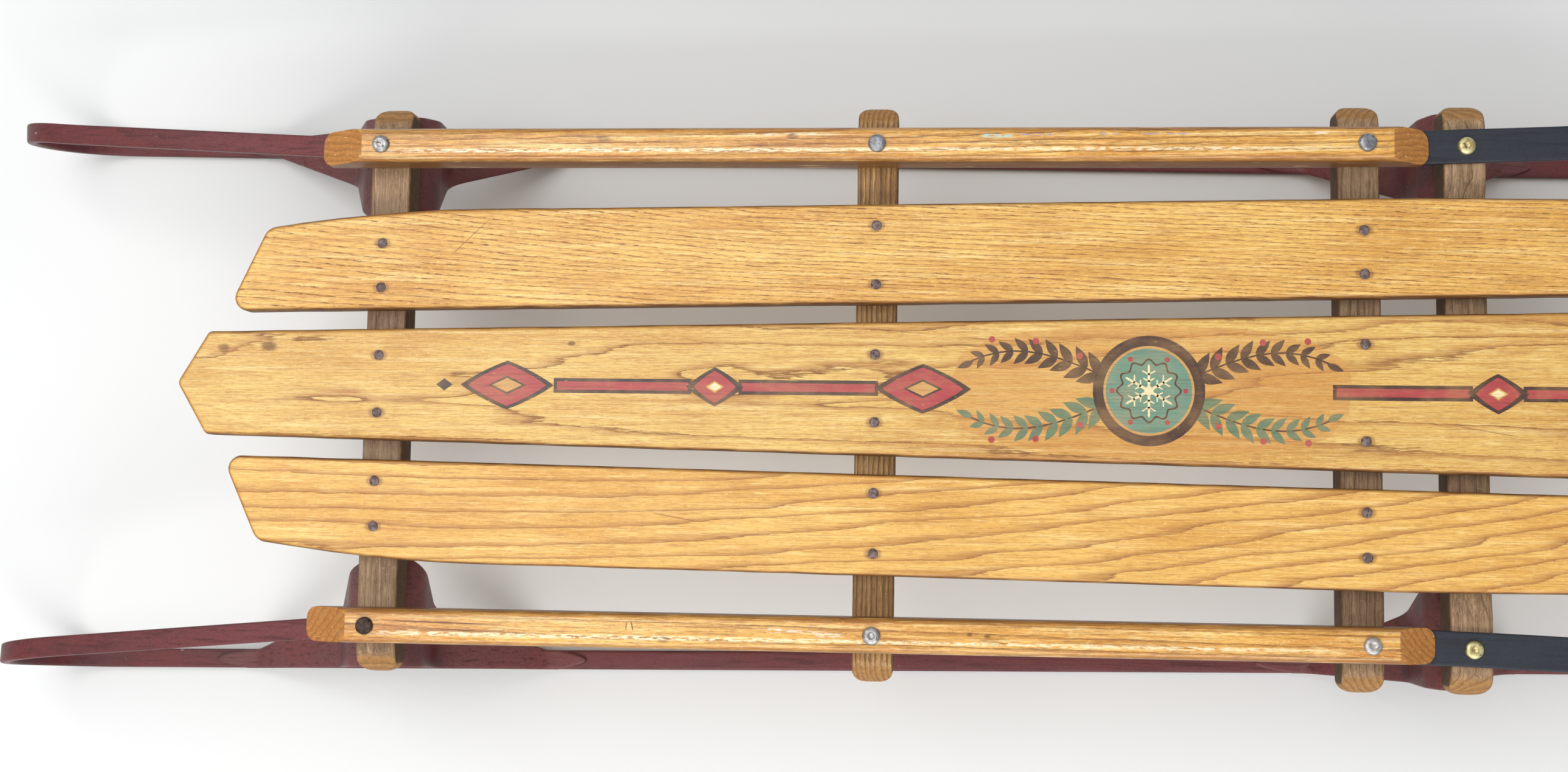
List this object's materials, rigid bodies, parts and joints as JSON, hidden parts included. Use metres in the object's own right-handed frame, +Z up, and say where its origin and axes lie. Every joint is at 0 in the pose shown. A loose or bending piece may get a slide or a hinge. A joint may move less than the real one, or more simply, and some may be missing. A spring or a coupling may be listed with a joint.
{
  "type": "steerable wooden sled",
  "caption": "Wooden sled with a slatted deck, side rails, flat steel runners with rear loops and upturned noses, and a wooden steering bar that swings the front frame.",
  "frame": {"origin": "on the floor, under the middle of the sled's bounding box", "axes": "+X forward, +Y the rider's left, +Z up"},
  "size_m": [1.295, 0.48, 0.1802],
  "materials": {
    "slat": "varnished ash",
    "rail": "varnished oak, rounded edges",
    "bench": "dull varnished hardwood",
    "bar_wood": "varnished hardwood",
    "red_paint": "dark red enamel, worn",
    "black_paint": "black enamel, worn",
    "bare_steel": "tarnished plated steel",
    "dark_steel": "darkened steel",
    "bolt": "yellow plated"
  },
  "bodies": {
    "root": {"slat_centre": "slat", "slat_left": "slat", "slat_right": "slat", "bench_rear": "bench", "bench_middle": "bench", "bench_third": "bench", "rail_left": "rail", "rail_right": "rail", "runner_rear_left": "red_paint", "runner_rear_right": "red_paint", "knee_rear_left": "red_paint", "knee_rear_right": "red_paint", "rail_rivets": "bare_steel", "deck_nails": "dark_steel"},
    "front_left": {"strap_left": "black_paint", "knee_front_left": "red_paint", "runner_front_left": "red_paint", "frame_bolts_left": "bolt"},
    "front_right": {"strap_right": "black_paint", "knee_front_right": "red_paint", "runner_front_right": "red_paint", "frame_bolts_right": "bolt"},
    "front_bench": {"bench_front": "bench"},
    "tie": {"cross_tie": "black_paint"},
    "bumper_bar": {"bumper": "black_paint"},
    "steering": {"steering_bar": "bar_wood", "steering_plate": "black_paint", "steering_disc": "bare_steel", "steering_bolt": "bare_steel"}
  },
  "joints": [
    {"name": "steer", "type": "hinge", "parent": "root", "child": "steering", "pos_m": [0.505, 0, 0.15], "axis": [0, 0, 1], "range_deg": [-18, 18], "stiffness_Nm_per_rad": 4},
    {"name": "frame_left", "type": "hinge", "parent": "root", "child": "front_left", "pos_m": [0.2025, 0.143, 0.145], "axis": [0, 0, 1], "range_deg": [-2.3, 2.3]},
    {"name": "frame_right", "type": "hinge", "parent": "root", "child": "front_right", "pos_m": [0.2025, -0.143, 0.145], "axis": [0, 0, 1], "range_deg": [-2.3, 2.3]},
    {"name": "bench_pivot", "type": "hinge", "parent": "front_left", "child": "front_bench", "pos_m": [0.263, 0.14502, 0.133], "axis": [0, 0, 1], "range_deg": [-2.28, 2.28]},
    {"name": "tie_pivot", "type": "hinge", "parent": "front_left", "child": "tie", "pos_m": [0.55, 0.15462, 0.149], "axis": [0, 0, 1], "range_deg": [-2.13, 2.13]},
    {"name": "bumper_pivot", "type": "hinge", "parent": "front_left", "child": "bumper_bar", "pos_m": [0.6, 0.15629, 0.149], "axis": [0, 0, 1], "range_deg": [-2.1, 2.1]}
  ],
  "couplings": [
    {"joint": "frame_left", "follows": "steer", "ratio": 0.12741},
    {"joint": "frame_right", "follows": "steer", "ratio": 0.12741},
    {"joint": "bench_pivot", "follows": "steer", "ratio": -0.12563},
    {"joint": "tie_pivot", "follows": "steer", "ratio": -0.11784},
    {"joint": "bumper_pivot", "follows": "steer", "ratio": -0.11658}
  ]
}
